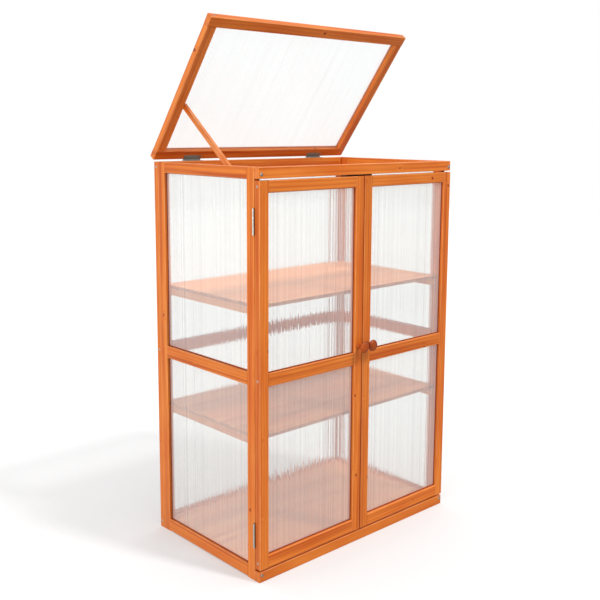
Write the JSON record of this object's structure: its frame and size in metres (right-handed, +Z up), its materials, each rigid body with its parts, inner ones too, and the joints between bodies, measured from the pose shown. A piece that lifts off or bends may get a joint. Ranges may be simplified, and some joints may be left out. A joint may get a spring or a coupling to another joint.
{
  "type": "wooden mini greenhouse",
  "caption": "Upright cabinet greenhouse of wooden battens and translucent twin-wall sheets, with front doors on butt hinges, inner shelves and a top lid on a folding stick.",
  "frame": {"origin": "on the ground, under the middle of the outer box with the lid open on its stick and the doors shut", "axes": "+Z up, +X to the right of someone who faces the doors, the doors face -Y"},
  "size_m": [0.7724, 0.5198, 1.4895],
  "materials": {
    "stained_wood": "satin orange stain on planed softwood",
    "shelf_wood": "satin orange stain on thin boards",
    "twin_wall_sheet": "clear fluted twin-wall sheet",
    "zinc_steel": "bright zinc plating"
  },
  "bodies": {
    "cabinet": {"back_left_stile": "stained_wood", "back_right_stile": "stained_wood", "back_top_rail": "stained_wood", "back_middle_rail": "stained_wood", "back_bottom_rail": "stained_wood", "back_upper_pane": "twin_wall_sheet", "back_lower_pane": "twin_wall_sheet", "left_front_stile": "stained_wood", "left_back_stile": "stained_wood", "left_top_rail": "stained_wood", "left_middle_rail": "stained_wood", "left_bottom_rail": "stained_wood", "left_upper_pane": "twin_wall_sheet", "left_lower_pane": "twin_wall_sheet", "right_front_stile": "stained_wood", "right_back_stile": "stained_wood", "right_top_rail": "stained_wood", "right_middle_rail": "stained_wood", "right_bottom_rail": "stained_wood", "right_upper_pane": "twin_wall_sheet", "right_lower_pane": "twin_wall_sheet", "front_top_rail": "stained_wood", "front_bottom_rail": "stained_wood", "floor_shelf": "shelf_wood", "lower_shelf": "shelf_wood", "upper_shelf": "shelf_wood", "left_door_upper_hinge_frame_leaf": "zinc_steel", "left_door_lower_hinge_frame_leaf": "zinc_steel", "right_door_upper_hinge_frame_leaf": "zinc_steel", "right_door_lower_hinge_frame_leaf": "zinc_steel", "lid_left_hinge_frame_leaf": "zinc_steel", "lid_right_hinge_frame_leaf": "zinc_steel"},
    "left_door": {"left_door_hinge_stile": "stained_wood", "left_door_meeting_stile": "stained_wood", "left_door_top_rail": "stained_wood", "left_door_middle_rail": "stained_wood", "left_door_bottom_rail": "stained_wood", "left_door_upper_pane": "twin_wall_sheet", "left_door_lower_pane": "twin_wall_sheet", "left_door_knob": "stained_wood", "left_door_upper_hinge_door_leaf": "zinc_steel", "left_door_lower_hinge_door_leaf": "zinc_steel"},
    "right_door": {"right_door_hinge_stile": "stained_wood", "right_door_meeting_stile": "stained_wood", "right_door_top_rail": "stained_wood", "right_door_middle_rail": "stained_wood", "right_door_bottom_rail": "stained_wood", "right_door_upper_pane": "twin_wall_sheet", "right_door_lower_pane": "twin_wall_sheet", "right_door_knob": "stained_wood", "right_door_upper_hinge_door_leaf": "zinc_steel", "right_door_lower_hinge_door_leaf": "zinc_steel"},
    "lid": {"lid_left_stile": "stained_wood", "lid_right_stile": "stained_wood", "lid_hinge_rail": "stained_wood", "lid_free_rail": "stained_wood", "lid_pane": "twin_wall_sheet", "lid_left_hinge_lid_leaf": "zinc_steel", "lid_right_hinge_lid_leaf": "zinc_steel"},
    "prop": {"lid_prop": "stained_wood"}
  },
  "joints": [
    {"name": "left_door_hinge", "type": "hinge", "parent": "cabinet", "child": "left_door", "pos_m": [-0.3832, -0.20675, 0.551], "axis": [0, 0, -1], "range_deg": [0, 180]},
    {"name": "right_door_hinge", "type": "hinge", "parent": "cabinet", "child": "right_door", "pos_m": [0.3832, -0.20675, 0.551], "axis": [0, 0, 1], "range_deg": [0, 180]},
    {"name": "lid_hinge", "type": "hinge", "parent": "cabinet", "child": "lid", "pos_m": [0, 0.24525, 1.1012], "axis": [-1, 0, 0], "range_deg": [-53, 0]},
    {"name": "prop_pivot", "type": "hinge", "parent": "lid", "child": "prop", "pos_m": [-0.3497, 0.13526, 1.25497], "axis": [-1, 0, 0], "range_deg": [0, 82]}
  ],
  "couplings": [
    {"joint": "prop_pivot", "follows": "lid_hinge", "ratio": -1.5472}
  ]
}
